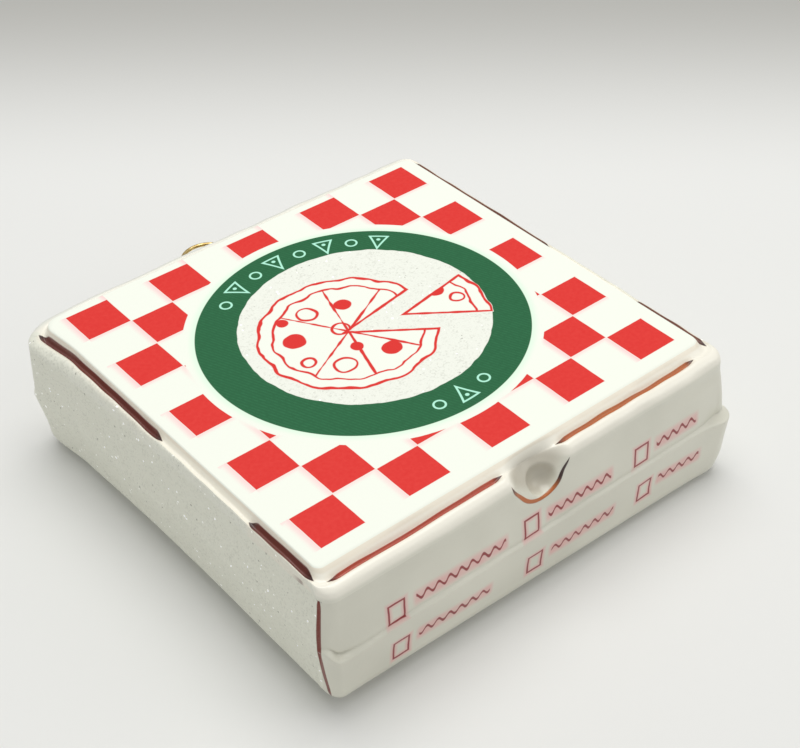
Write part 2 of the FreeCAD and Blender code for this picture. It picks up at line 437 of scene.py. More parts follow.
def wall_inset(z):
    """How far the wall stands in from the tray's rim at the heights z, before the rings climb."""
    lean = left * LEFT_LEAN * (1 - smooth_step(to_back, 0.35, 1.0))
    below = tray_taper * np.maximum(1 - z / CREASE, 0) - tray_bulge * smooth_step(z, 0.5, 6)
    rise = np.clip((z - CREASE) / (WALL_TOP - CREASE), 0, 1)
    above = step + (lid_top_in - step) * rise ** 1.3
    share_above = smooth_step(z, CREASE - 0.45, CREASE + 0.35)
    pinch = CORNER_PINCH * hump(rim_x, 2.6 - HALF_X, 1.8) * front
    mould_line = (MOULD_LINE * (1 - sides[:, 1]) + pinch) * hump(z, CREASE, 0.3)
    return below * (1 - share_above) + above * share_above + mould_line + lean


def add_ring(plan, z):
    """Add a ring: its plan, and one height or a height for each column."""
    rows.append(np.column_stack([plan, np.broadcast_to(z, len(angle))]))


FOOT_ROWS = 13
BOTTOM_SIZES = (0.3, 0.6, 0.85, 0.97)
NEAR_CREASE = 1.2  # the rings lie close within this height of the line
rows = []
foot_plan = offset_plan(tray_taper + bottom_round, CORNERS + 1.8)
low_plan = offset_plan(wall_inset(bottom_round), CORNERS + 0.2)
for size in BOTTOM_SIZES:
    add_ring(foot_plan * size, 0)
for t in np.linspace(math.pi / 2, 0, FOOT_ROWS):
    plan = low_plan + (foot_plan - low_plan) * (1 - math.cos(t))
    add_ring(plan, bottom_round * (1 - math.sin(t)))
heights = [*np.linspace(bottom_round, CREASE - NEAR_CREASE, 9)[1:],
           *np.linspace(CREASE - NEAR_CREASE, CREASE + NEAR_CREASE, 17)[1:],
           *np.linspace(CREASE + NEAR_CREASE, WALL_TOP, 28)[1:]]
for z in heights:
    climb = line_lift * plateau(z, 6, CREASE, CREASE, 21)
    radii = CORNERS + 0.02 * abs(np.mean(z) - CREASE)
    add_ring(offset_plan(wall_inset(z), radii), z + climb)
wall_rows = len(rows)

# %% [markdown]
# From the rolled rim the rings run inwards. Each side has its own distances to the groove and the panel,
# and the heights blend round the corners.

# %% Rings of the top
RIM_ROWS = 13
SLOPE_ROWS = 26
PANEL_SIZES = (0.988, 0.965, 0.92, 0.84, 0.72, 0.56, 0.38, 0.2, 0.07)
TOP_RADII = np.array([1.7, 2.0, 2.6, 5.0])
PANEL_RADII = np.array([1.1, 1.5, 1.8, 2.4])
GROOVE_DIP = np.array([0.28, 0.3, 0.1])
top_plan = rows[-1][:, :2]
low_corner = 0.8 * hump(rim_x, -HALF_X, 7.0) * hump(rim_y, HALF_Y, 7.0)
crest_plan = ring(CREST_IN, TOP_RADII)
for t in np.linspace(0, math.pi / 2, RIM_ROWS + 1)[1:]:
    plan = top_plan + (crest_plan - top_plan) * (1 - math.cos(t))
    add_ring(plan, sides @ (WALL_TOP + (CREST - WALL_TOP) * math.sin(t)) - low_corner * math.sin(t))
edge_in = PANEL_IN + 0.5
for u in np.linspace(0, 1, SLOPE_ROWS + 1)[1:]:
    inset = CREST_IN + (edge_in - CREST_IN) * u
    dip = GROOVE_DIP * hump(inset, GROOVE_IN, 0.55)
    z = CREST - dip + (PANEL_TOP - CREST) * smooth_step(inset, GROOVE_IN + 0.15, PANEL_IN + 0.3)
    radii = TOP_RADII + (PANEL_RADII - TOP_RADII) * u
    add_ring(ring(inset, radii), sides @ z - low_corner * (1 - u))
for size in PANEL_SIZES:
    add_ring(ring(edge_in, PANEL_RADII, size), PANEL_TOP)
skin = np.stack(rows)
print("rings in all:", len(rows), "points:", skin.shape[0] * skin.shape[1])

# %% [markdown]
# The waves push the walls outwards and the rim upwards. They fade out before the bottom, so that the box
# still lies flat, and before the printed panel.

# %% Waves, grooves and the corner valley
WALL_WAVES = 0.16
RIM_WAVES = 0.14
SHRINK = (0.2, 0.1)  # walls and rim: room for the waves inside the mould
RECESS = 0.22  # a shallow band under the rolled rim, front and back
VALLEY = 0.35  # a small dip across the bead at the near corner

round_box = np.cumsum(np.linalg.norm(np.diff(rim, axis=0, prepend=rim[:1]), axis=1))
x, y, z = skin[..., 0], skin[..., 1], skin[..., 2]
on_wall = plateau(z, 1.0, 7.0, 22.8, 24.4)
swell = WALL_WAVES * ripple(round_box[None, :], z, 0.7) - SHRINK[0]
recess = RECESS * hump(z, 20.9, 1.1) * (sides[:, 0] + sides[:, 2])
skin[..., :2] += outward[None] * (swell * on_wall - recess)[..., None]
on_rim = plateau(z, 22.6, 23.8, 24.7, 25.3)
skin[..., 2] += on_rim * (RIM_WAVES * ripple(round_box[None, :], 0, 2.3, 17.0) - SHRINK[1])

# Strokes are (start, end) along x for the front and along y for the sides
STROKES = {"left": ((-34.5, -20.1), (1.8, 35.9)), "right": ((-34.8, -19.2), (0.2, 35.9)),
           "front": ((-37.4, -5.9), (4.9, 34.7))}
GROOVE_DEPTH = {"left": 0.4, "right": 0.1, "front": 0.5}
STROKE_LINE = {"left": 38.75, "right": 38.95, "front": 35.85}  # mm from the middle


def stroke_strength(along, runs):
    """1 between the ends of any run, fading over 2 mm at each end."""
    return np.max([plateau(along, a - 0.3, a + 1.7, b - 1.7, b + 0.3) for a, b in runs], axis=0)


top_rows = slice(wall_rows, wall_rows + RIM_ROWS + SLOPE_ROWS)
for name, across, along in (("left", -x, y), ("right", x, y), ("front", -y, x)):
    cut = hump(across[top_rows], STROKE_LINE[name], 0.5) * stroke_strength(along[top_rows], STROKES[name])
    skin[top_rows, :, 2] -= GROOVE_DEPTH[name] * cut
CORNER_PULL = 0.9  # mm, the far left corner was drawn out sideways
PULL_RUN = (26.0, 38.0)
valley = hump((x + y) / math.sqrt(2) + 53.6, 0, 0.7) * hump((x - y) / math.sqrt(2), -2.2, 2.6)
skin[top_rows, :, 2] -= VALLEY * valley[top_rows]

# %% [markdown]
# The thumb notch is a trough through the front rim. It runs down from the panel's edge and meets the
# front in a U, and a round hollow is sunk low in it. Every point that lies in the way is pushed square to
# the trough until it lies on it. The push starts softly, so the trough's rim stays round.

# %% Thumb notch
TROUGH_FOOT = np.array([NOTCH_X, -38.9, 18.5])  # lowest point of the U
TROUGH_RADIUS = 6.8
TROUGH_IN = np.array([0, 0.72, -0.694])  # square to the trough, into the glass
TROUGH_END = (34.2, 36.0)  # it fades out between these, before the panel
HOLLOW = np.array([0.7, -38.0, 21.0])  # middle of the hollow's ball
HOLLOW_RADIUS = 2.7
ARC_MIDDLE_Z = 24.2
ARC_RADIUS = 5.6
NOWHERE = 9.0  # mm, too far from the arc for any paint


def soft_push(distance, softness):
    """log(1 + exp) of a distance: 0 well below zero, the whole distance well above it."""
    return softness * np.logaddexp(0, distance / softness)


def press_trough(points):
    """Points pushed in to a half-pipe, whose wall at a distance q from its middle line stands
    radius - sqrt(radius^2 - q^2) out from its floor."""
    aside = np.abs(points[:, 0] - NOTCH_X)
    q = np.minimum(aside, TROUGH_RADIUS - 0.01)
    over = np.maximum(aside - TROUGH_RADIUS, 0) * 4
    wall = np.sqrt(TROUGH_RADIUS ** 2 - q ** 2) - TROUGH_RADIUS - over
    depth = (points - TROUGH_FOOT) @ TROUGH_IN
    reach = smooth_step(-points[:, 1], *TROUGH_END)
    return points + (soft_push(wall - depth, 0.4) * reach)[:, None] * TROUGH_IN


def press_ball(points):
    """Points pushed in until they leave the hollow's ball, by the distance to its far side."""
    offset = points - HOLLOW
    along = offset @ TROUGH_IN
    spare = along ** 2 - (offset ** 2).sum(axis=-1) + HOLLOW_RADIUS ** 2
    distance = spare / np.sqrt(np.abs(spare) + 0.5) - along
    return points + soft_push(distance, 0.22)[:, None] * TROUGH_IN


def rim_distance(points):
    """Distance from the U that the trough cuts in the front: the room left over the trough, divided by
    how fast that room changes along the front."""
    q = np.clip(points[:, 0] - NOTCH_X, -TROUGH_RADIUS + 0.3, TROUGH_RADIUS - 0.3)
    root = np.sqrt(TROUGH_RADIUS ** 2 - q ** 2)
    room = root - TROUGH_RADIUS - (points - TROUGH_FOOT) @ TROUGH_IN
    return room / np.sqrt(TROUGH_IN[2] ** 2 + (q / root) ** 2)


near_notch = (np.abs(x - NOTCH_X) < 11) & (y < -29) & (z > 12)
before = skin[near_notch]
pressed = press_ball(press_trough(before))
rim_across = np.full(skin.shape[:2], -NOWHERE)
rim_across[near_notch] = rim_distance(before)
rim_along = np.arctan2(z - ARC_MIDDLE_Z, x - NOTCH_X) * ARC_RADIUS
beyond = (y > -36.2) | (rim_along > 0.3)
rim_across[beyond] = np.copysign(NOWHERE, rim_across[beyond])
push = np.zeros(skin.shape[:2])
push[near_notch] = np.linalg.norm(pressed - before, axis=-1)
skin[near_notch] = pressed
skin[..., 0] -= CORNER_PULL * smooth_step(y, *PULL_RUN) * smooth_step(-x, 30, 37.5)

# %% Neck
NECK_Z = 13.3
NECK_AROUND = 72
neck_profile = np.array([[2.0, 38.4], [6.6, 38.4], [6.3, 38.9], [5.7, 39.3], [5.15, 39.7], [4.8, 40.2],
                         [4.62, 40.8], [4.6, 41.5], [4.6, 43.0], [4.5, 43.2], [4.3, 43.3], [3.8, 43.3],
                         [3.65, 43.2], [3.6, 42.9], [3.6, 39.0], [2.0, 38.8]])       # radius, y
turn = np.linspace(0, 2 * math.pi, NECK_AROUND, endpoint=False)
neck = np.stack([neck_profile[:, :1] * np.sin(turn), np.repeat(neck_profile[:, 1:], NECK_AROUND, axis=1),
                 NECK_Z + neck_profile[:, :1] * np.cos(turn)], axis=-1)

# %% The mesh


def grid_faces(rows, columns, first=0, closed_rows=False):
    """Four-cornered faces between neighbouring rows and columns, round in the column direction."""
    r = np.repeat(np.arange(rows if closed_rows else rows - 1), columns)
    c = np.arange(len(r)) % columns
    above, beside = (r + 1) % rows, (c + 1) % columns
    return first + np.stack([r * columns + c, r * columns + beside, above * columns + beside,
                             above * columns + c], axis=1)


def cap_faces(centre, row_start, columns, outwards):
    """Triangles from a centre point to a row of columns."""
    c = np.arange(columns)
    a, b = row_start + c, row_start + (c + 1) % columns
    middle = np.full(columns, centre)
    return np.stack([middle, a, b] if outwards else [middle, b, a], axis=1)


def mesh_piece(name, points, faces, body="root"):
    """Smooth-shaded piece from points in mm and lists of faces, riding on a body."""
    mesh = bpy.data.meshes.new(name)
    mesh.from_pydata((points * MM).tolist(), [], [f for group in faces for f in group.tolist()])
    mesh.polygons.foreach_set("use_smooth", np.ones(len(mesh.polygons), bool))
    mesh.update()
    piece = add_object(name, mesh)
    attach(piece, body)
    print(name, "triangles:", sum(len(p.vertices) - 2 for p in mesh.polygons))
    return piece


columns = len(angle)
skin_points = skin.reshape(-1, 3)
poles = np.array([[0, 0, 0], [0, (PANEL_IN[0] - PANEL_IN[2]) / 2, PANEL_TOP]])
neck_start = len(skin_points) + 2
all_points = np.concatenate([skin_points, poles, neck.reshape(-1, 3)])
faces = [grid_faces(len(rows), columns), cap_faces(len(skin_points), 0, columns, False),
         cap_faces(len(skin_points) + 1, (len(rows) - 1) * columns, columns, True),
         grid_faces(len(neck_profile), NECK_AROUND, neck_start, closed_rows=True)]
bubble = mesh_piece("glass_shell", all_points, faces)
for label, values in (("rim_across", rim_across), ("rim_along", rim_along), ("push", push)):
    kept = bubble.data.attributes.new(label, "FLOAT", "POINT")
    elsewhere = np.full(len(all_points) - len(skin_points), NOWHERE)
    kept.data.foreach_set("value", np.concatenate([values.ravel(), elsewhere]).astype(np.float32))
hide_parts("glass_body")
print("bubble from", skin_points.min(axis=0).round(2), "to", skin_points.max(axis=0).round(2))

# %% [markdown]
# ## The print
# The top was printed before it was painted: a chequerboard with a round hole in it, a green ring in the
# hole, and a red line drawing in the ring. A point of the board is red where the numbers of its column
# and row are both even or both odd. Soft pink edges lie along the left and front sides of the red cells.

# %% Chequers
PITCH_X = 7.8  # mm between the lines
PITCH_Y = 7.41
BOARD_HALF = 4.5  # cells from the middle of the board to its edge
LAST_CELL = 8.0  # no ink spread from beyond the last cell
CHEQUER_Y = 1.755  # middle of the board
RING_X = 0.3
RING_Y = 2.84
PRINT_SQUEEZE = 0.943  # the print is this much shorter front to back than side to side
RING_OUTER = 27.3
BOARD_HOLE = 29.3


def chequer_group():
    """Red and glow masks of the chequerboard from x and y in mm. The glow lies in the white cells, along
    the edge that each shares with the red cell on its right or behind it."""
    tree, (x, y) = open_group("chequers", "X", "Y")
    u = x * (1 / PITCH_X) + BOARD_HALF
    v = (y - CHEQUER_Y) * (1 / PITCH_Y) + BOARD_HALF
    across = u.math("FRACT")
    along = v.math("FRACT")
    odd = (u.math("FLOOR") + v.math("FLOOR")).math("FLOORED_MODULO", 2.0)
    to_line = (0.5 - abs(across - 0.5)).both(0.5 - abs(along - 0.5)) * PITCH_X
    board = reduce(Field.both, [abs(w - BOARD_HALF).inside(BOARD_HALF, 0.004) for w in (u, v)])
    hole = length_of(x - RING_X, (y - RING_Y) * (1 / PRINT_SQUEEZE))
    red = (1.0 - odd) * to_line.outside(0.08, 0.06) * board * hole.outside(BOARD_HOLE, 0.05)
    wide_board = abs(u - 4.42).inside(4.6, 0.02).both(abs(v - 4.6).inside(4.6, 0.02))
    beside = across.step(0.82, 1.0) * u.inside(LAST_CELL, 0.01)
    behind = along.step(0.88, 1.0) * v.inside(LAST_CELL, 0.01) * 0.75
    glow = beside.either(behind) * odd * wide_board * hole.outside(BOARD_HOLE, 0.5)
    return close_group(tree, {"Red": red, "Glow": glow})


chequers = chequer_group()

# %% [markdown]
# The ring lies between two distances from its middle, and its inner edge is a little off centre. Small
# slices and dots follow it in two runs: the angle is cut into equal steps, and each step draws the same
# outline about its own middle.

# %% Ring
RING_INNER = 20.75
INNER_X = 0.9
INNER_Y = 3.3
MOTIF_RADIUS = 23.9
MOTIF_ANGLE = 11.2  # degrees from one to the next
RUN_START = 41.3  # degrees, where the upper run's first step starts
UPPER_RUN = (86.1, 44.8)  # middle and half-length of each run
LOWER_RUN = (-87.5, 16.8)


def ring_group():
    """Masks of the ring, its motifs, its pale edge and the disc inside it, from x and y in mm.

    A slice is the part of a step that lies within three lines. Its outline is a thin band round that."""
    tree, (x, y, waver) = open_group("printed_ring", "X", "Y", "Waver")
    inner = length_of(x - INNER_X, (y - INNER_Y) * (1 / PRINT_SQUEEZE)) + waver * 0.25
    x = x - RING_X
    y = (y - RING_Y) * (1 / PRINT_SQUEEZE)
    outer = length_of(x, y)
    green = outer.inside(RING_OUTER, 0.07) * inner.outside(RING_INNER, 0.07)
    turn = y.math("ARCTAN2", x) * (180 / math.pi)
    step = (turn - RUN_START) * (1 / MOTIF_ANGLE) + 40.0
    sideways = (step.math("FRACT") - 0.5) * (math.radians(MOTIF_ANGLE) * MOTIF_RADIUS)
    outwards = outer - MOTIF_RADIUS
    slanted = abs(sideways) * 0.928 + outwards * -0.371
    slice_shape = (slanted - 0.72).either(outwards - 1.75)
    outline = abs(slice_shape).inside(0.17, 0.05)
    dot = length_of(sideways, outwards - 0.75).inside(0.34, 0.06)
    bead = abs(length_of(sideways, outwards) - 0.95).inside(0.17, 0.05)
    odd = step.math("FLOOR").math("FLOORED_MODULO", 2.0)
    drawn = (outline.either(dot) * (1.0 - odd)).either(bead * odd)
    runs = [abs(turn - middle).inside(half, 0.2) for middle, half in (UPPER_RUN, LOWER_RUN)]
    motif = drawn * runs[0].either(runs[1]) * green
    edge = outer.step(RING_OUTER + 1.4, RING_OUTER) * outer.outside(RING_OUTER, 0.1)
    lines = ((x * 0.93 + y * 0.37) * 11.0).math("SINE") * 0.5 + 0.5
    return close_group(tree, {"Green": green, "Motif": motif, "Edge": edge,
                              "Disc": inner.inside(RING_INNER, 0.07), "Grain": lines * green})


printed_ring = ring_group()

# %% [markdown]
# In the ring is a plain line drawing of a pizza with one slice pulled out to the right, over the ring. It
# has a wavy crust, cuts through the middle and round toppings, some of them filled in.

# %% Pizza drawing
PIZZA_X = -2.6
PIZZA_Y = 3.2
PIZZA_RADIUS = 14.6
CRUST = 2.3
SLICE_TURN = -14.0  # degrees, the way the pulled slice points
SLICE_HALF = 24.0  # half its angle
SLICE_OUT = 9.2  # how far it is pulled
CUTS = (28.0, 74.0, 121.0)  # degrees
TOPPINGS = ((-8.2, 3.6, 1.9, 1), (-2.4, 8.1, 1.7, 0), (-5.6, -6.6, 1.8, 0), (2.6, -8.0, 1.7, 1),
            (-0.6, 1.4, 1.5, 0), (-9.6, -2.3, 1.2, 0), (3.6, 6.4, 1.5, 1), (-6.9, 8.9, 1.1, 1),
            (-1.4, -4.0, 1.1, 1))       # x, y, radius and whether it is filled in
SLICE_TOPPINGS = ((8.6, 1.6, 1.6, 1), (10.2, -2.2, 1.2, 0))


def pizza_group():
    """Line, solid and paper masks of the drawing, from x and y in mm. Everything is a distance from a
    circle or from a ray. The pulled slice is drawn in coordinates of its own."""
    tree, (x, y, waver) = open_group("pizza_drawing", "X", "Y", "Waver")
    half_line = waver * 0.16 + 0.27
    away = math.radians(SLICE_TURN)
    reach = (math.cos(away), math.sin(away))
    edge_slope = math.tan(math.radians(SLICE_HALF))

    def part(x, y, toppings, wedge_sign):
        """Distances of one part: inside its circle and on one side of the two edges of the slice."""
        r = length_of(x, y)
        turn = y.math("ARCTAN2", x)
        scalloped = r + ((turn * 13.0).math("SINE") * 0.22) + waver * 0.5
        along = x * reach[0] + y * reach[1]
        beside = abs(y * reach[0] - x * reach[1])
        edge = (beside - along * edge_slope) * (wedge_sign * math.cos(math.radians(SLICE_HALF)))
        body = (scalloped - PIZZA_RADIUS).either(edge + 0.25)
        line = (abs(body) - half_line).inside(0, 0.08)
        crust = (abs(scalloped - (PIZZA_RADIUS - CRUST)) - half_line * 0.8).inside(0, 0.08)
        line = line.either(crust * body.inside(0))
        filled_in = []
        for tx, ty, size, filled in toppings:
            d = length_of(x - tx, y - ty) + waver * 0.35
            if filled:
                filled_in.append(d.inside(size, 0.08))
            else:
                line = line.either((abs(d - size) - half_line * 0.8).inside(0, 0.08) * body.inside(0))
        return line, reduce(Field.either, filled_in) * body.inside(0), body.inside(0.3)

    x = x - PIZZA_X
    y = (y - PIZZA_Y) * (1 / PRINT_SQUEEZE)
    line, solid, paper = part(x, y, TOPPINGS, -1)
    for cut in np.radians(CUTS).tolist():
        off = abs(y * math.cos(cut) - x * math.sin(cut)) + waver * 0.3
        ray = (off - 0.2).inside(0, 0.08) * length_of(x, y).inside(PIZZA_RADIUS - CRUST)
        line = line.either(ray * paper)
    slice_line, slice_solid, slice_paper = part(x - SLICE_OUT * reach[0], y - SLICE_OUT * reach[1],
                                                SLICE_TOPPINGS, 1)
    return close_group(tree, {"Line": (line * (1.0 - slice_paper)).either(slice_line),
                              "Solid": (solid * (1.0 - slice_paper)).either(slice_solid),
                              "Paper": paper.either(slice_paper)})


pizza_drawing = pizza_group()

# %% [markdown]
# ## Hand-painted strokes
# The lines in the grooves were laid on with a loaded brush: they swell and thin, they start and end in a
# darker dab, and the lacquer beside them stays pale. One group draws them all, from a length along the
# stroke and a distance across it.

# %% Painted stroke


def stroke_group():
    """Paint, dab and halo masks of one stroke. Its half-width is the brush's, times a rise and fall over
    2 mm at the ends and a slow swelling."""
    inputs = ("Along", "Across", "Start", "End", "Half", "Swell", "Waver")
    tree, (along, across, start, end, half, swell, waver) = open_group("painted_stroke", *inputs)
    since = along - start
    until = end - along
    taper = since.step(-0.2, 2.2).math("POWER", 0.5) * until.step(-0.2, 1.5).math("POWER", 0.5)
    width = half * taper * (swell * 0.4 + 1.0)
    off = abs(across + waver * 0.35) - width
    on = taper.outside(0.05, 0.04)
    paint = off.inside(-0.02, 0.06) * on
    dab = (1.0 - since.step(0.2, 2.6)).either(1.0 - until.step(0.2, 1.8))
    halo = off.step(0.9, 0.1) * on * (1.0 - paint)
    return close_group(tree, {"Paint": paint, "Dab": dab * paint, "Halo": halo})


painted_stroke = stroke_group()

# %% [markdown]
# ## Glitter
# The sides are coated with clear flakes about 0.3 mm across that lie at all angles. Each cell of a
# Voronoi pattern tips the surface its own way, so the light breaks up as it does on sugar. A few flakes
# get a painted glint, white and glowing, and a few are dark.

# %% Glitter group


def glitter_group():
    """Normal, shade, painted glint and speck of the flakes: each cell's three random numbers tip the
    normal, and their highest values pick the flakes with a painted glint and the dark flakes."""
    tree, (per_metre, tilt) = open_group("glitter", "Flakes", "Tilt")

    def vector(operation, *values):
        """Arithmetic on vectors, where a single number counts for all three."""
        return add_node(tree, "VectorMath", *values, operation=operation).outputs[0]

    where = own_position(tree)
    own = add_node(tree, "TexVoronoi", where, 0.0, per_metre).outputs["Color"]
    tip = vector("MULTIPLY", vector("SUBTRACT", own, (0.5, 0.5, 0.5)), tilt)
    tipped = vector("NORMALIZE", vector("ADD", add_node(tree, "NewGeometry").outputs["Normal"], tip))
    one, two, three = [Field(socket) for socket in add_node(tree, "SeparateColor", own).outputs]
    clumps = noise(tree, where, 420.0, 1.0)
    return close_group(tree, {"Normal": tipped, "Shade": one * 0.75 + clumps * 0.5,
                              "PaintedGlint": two.outside(0.992, 0.002) * clumps.outside(0.52, 0.06),
                              "Speck": three.outside(0.997, 0.001) * 0.5})


glitter = glitter_group()

# %% [markdown]
# ## The lacquered glass
# The skin has five materials, cut along its rings and columns: the printed panel, the rolled rim, the
# front, the glittered sides and the back. Each starts as a plain ground, and layers of colour are laid on
# it by masks.

# %% Lacquer colours
PEARL = linear("e3e1d2")
PEARL_SHADE = linear("d9d7c8")
# partly paler lacquer, partly painted highlight from the lamp above, on the rim's top
BEAD_PEARL_AND_HIGHLIGHT = linear("f6f2e4")
# painted shade on the rim's back edge, which faces away from the lamps
BACK_RIM_SHADE = linear("e2e3d9")
# painted shade in the thumb notch's recess
NOTCH_PAINTED_SHADE = linear("bbb4a4")
WHITE_GROUND = linear("f3f6ea")
CREAM = linear("f0e8d6")
GLITTER_GROUND = linear("ebebdc")
DISC_GROUND = linear("eff1e6")
RED_INK = linear("dc2c26")
RED_INK_LIGHT = linear("e0352e")
PINK = linear("fbcfcf")
GREEN_INK = linear("195e37")
GREEN_INK_LIGHT = linear("236a41")
MINT = linear("b4f2d8")
MINT_GLOW = linear("ddfbe0")
FRONT_INK = linear("8f1b21")
FRONT_GLOW = linear("eaa5a4")
COPPER = linear("b8652f")
COPPER_RED = linear("b0452c")
# the copper paint in painted shade on the left side: brown, with a paler random tint
LEFT_COPPER_SHADED = linear("6b3630")
LEFT_COPPER_SHADED_PALE = linear("7c4438")
# the same copper paint in darker painted shade on the right side
RIGHT_COPPER_SHADED = linear("5f3226")
RIGHT_COPPER_SHADED_PALE = linear("7c4630")
CORNER_BROWN = linear("7c3a2e")
DARK_DAB = linear("33160f")
FLAKE_SHADE = linear("9a9a8c")
DARK_SPECK = linear("6a665c")

# %% Finish
FLAKES_PER_M = 3800.0


class Finish:
    """One material of the skin: fields on its coordinates, and the colour that layers are laid on."""

    def __init__(self, name, ground, roughness, specular, coat=0.0):
        self.material, self.tree, self.shader = plain_material(name, ground, roughness)
        self.shader["Specular IOR Level"].default_value = specular
        self.shader["Coat Weight"].default_value = coat
        self.shader["Coat Roughness"].default_value = 0.2
        where = own_position(self.tree)
        self.x, self.y, self.z = in_mm(self.tree, where)
        self.slow, self.quick, self.fine = [(noise(self.tree, where, *grain) - 0.5) * 2.0
                                            for grain in ((90.0, 1.0), (420.0, 1.0), (1500.0, 2.0))]
        self.height = self.fine * 0.06 + self.slow * 0.1
        self.colour = ground
        self.flakes = None

    def place(self, group, *values):
        """Place a group, its inputs given in order. Gives back its outputs in order."""
        return [Field(socket) for socket in add_node(self.tree, "Group", *values, node_tree=group).outputs]

    def attribute(self, label):
        """A value that was stored with the mesh's points."""
        return Field(add_node(self.tree, "Attribute", attribute_name=label).outputs["Fac"])

    def mix(self, mask, low, high):
        return mix(self.tree, mask, low, high)

    def lay(self, mask, colour):
        """Lay a colour over what is there, by a mask."""
        self.colour = self.mix(mask, self.colour, colour)

    def lay_paint(self, mask, colour):
        """Lay brushed paint, which also stands a little proud."""
        self.lay(mask, colour)
        self.height = self.height + mask * 0.8

    def lay_glitter(self, mask, ground, tilt):
        """Lay a ground with flakes on it, with a painted glint, white and glowing, on a few of them. Keep
        the flakes' normals for the end.
        """
        normal, shade, painted_glint, speck = self.place(glitter, FLAKES_PER_M, tilt)
        self.lay(mask, ground)
        self.lay(mask * shade.step(0.15, 0.5, (0.22, 0.0)), FLAKE_SHADE)
        self.lay(mask * speck, DARK_SPECK)
        # painted glint: a few flakes are laid white, standing in for lamp light that they catch
        self.lay(mask * painted_glint, (1, 1, 1, 1))
        self.flakes = (mask, normal)
        # painted glint, part two: those flakes also glow, though they are no lamp
        join(self.mix(mask * painted_glint, (0, 0, 0, 1), (1, 1, 0.96, 1)), self.shader["Emission Color"])
        self.shader["Emission Strength"].default_value = 0.4

    def close(self):
        """Join colour and normal to the shader, and hand the material to the bubble."""
        join(self.colour, self.shader["Base Color"])
        bump = add_node(self.tree, "Bump")
        bump.inputs["Distance"].default_value = 0.0003
        bump.inputs["Strength"].default_value = 0.5
        join(self.height, bump.inputs["Height"])
        normal = bump.outputs["Normal"]
        if self.flakes:
            mask, flake_normal = self.flakes
            normal = mix(self.tree, mask, normal, flake_normal, "VECTOR")
        join(normal, self.shader["Normal"])
        bubble.data.materials.append(self.material)
        print(self.material.name, "nodes:", len(self.tree.nodes))


# %% Printed panel
panel = Finish("printed_panel", CREAM, 0.5, 0.25)
panel.lay(panel.z.step(25.0, 25.3), WHITE_GROUND)
red, red_glow = panel.place(chequers, panel.x + panel.quick * 0.05, panel.y + panel.fine * 0.03)
green, motif, mint_edge, disc, grain = panel.place(printed_ring, panel.x, panel.y, panel.quick)
drawn, solid, paper = panel.place(pizza_drawing, panel.x, panel.y, panel.quick)
panel.lay_glitter(disc * (1.0 - paper), DISC_GROUND, 0.3)
panel.lay(red_glow * (panel.slow * 0.3 + 0.75), PINK)
panel.lay(red, panel.mix(panel.fine.step(-0.5, 0.6), RED_INK, RED_INK_LIGHT))
panel.lay(mint_edge * 0.8, MINT_GLOW)
panel.lay(green, panel.mix(grain * panel.fine.step(-0.7, 0.5), GREEN_INK, GREEN_INK_LIGHT))
panel.lay(motif, MINT)
panel.lay(paper, WHITE_GROUND)
panel.lay(drawn.either(solid), RED_INK)
panel.close()

# %% [markdown]
# The rim carries a cream strip in its groove, glitter outside that on the two sides, and the six strokes.
# Its top is partly paler lacquer, partly painted highlight. A white bead of lacquer stays bare at the near
# corner.

# %% Rolled rim
STROKE_HALF = {"left": 0.58, "right": 0.5, "front": 0.45}
# one copper paint in all strokes: the front's copper as it looks lit, the sides' browns as painted shade
STROKE_TINTS_LIT_AND_SHADED = {"left": (LEFT_COPPER_SHADED, LEFT_COPPER_SHADED_PALE), "right": (RIGHT_COPPER_SHADED, RIGHT_COPPER_SHADED_PALE),
                "front": (COPPER_RED, COPPER)}
THIN_HALF = 0.3  # half-width of the arc and of the corner's line
ARC_RUN = (-16.9, -1.6)  # mm along the arc, from left to right
ARC_DARKENS = (-6.8, -4.5)
CORNER_RUN = (3.0, 22.6)  # mm, the heights that the corner's line runs between


def lay_arc(finish):
    """Painted shade in the thumb notch, darkest where the surface was pushed furthest in, and the arc
    round the notch's lower rim, on the two lengths stored with the points.
    """
    arc_length = finish.attribute("rim_along")
    # painted shade, darker where the notch was pressed deeper
    finish.lay(finish.attribute("push").step(0.1, 2.2) * 0.8, NOTCH_PAINTED_SHADE)
    paint, dab = finish.place(painted_stroke, arc_length, finish.attribute("rim_across") + 0.3, *ARC_RUN,
                              THIN_HALF, finish.slow * 0.4, finish.slow * 0.3)[:2]
    dark = dab.either(arc_length.step(*ARC_DARKENS))
    finish.lay_paint(paint, finish.mix(dark, COPPER, DARK_DAB))


def lay_corner_line(finish):
    """The thin line down the near corner. It bends to the right under the moulded line."""
    bend = (CREASE + 0.5 - finish.z).either(0.0) * 0.11
    across = (finish.x - finish.y) * (1 / math.sqrt(2)) + 2.1 - bend
    paint = finish.place(painted_stroke, finish.z, across, *CORNER_RUN, THIN_HALF,
                         finish.slow, finish.slow * 0.6)[0]
    finish.lay_paint(paint * (finish.x + finish.y).inside(-71.0, 0.5), CORNER_BROWN)


# the rim's ground: paler lacquer with painted highlight on its top, and the walls' pearl below it
rolled = Finish("rolled_rim", BEAD_PEARL_AND_HIGHLIGHT, 0.32, 0.5, 0.3)
rolled.lay(rolled.z.step(23.3, 22.5), PEARL)
rolled.lay(rolled.z.step(24.6, 24.9), CREAM)
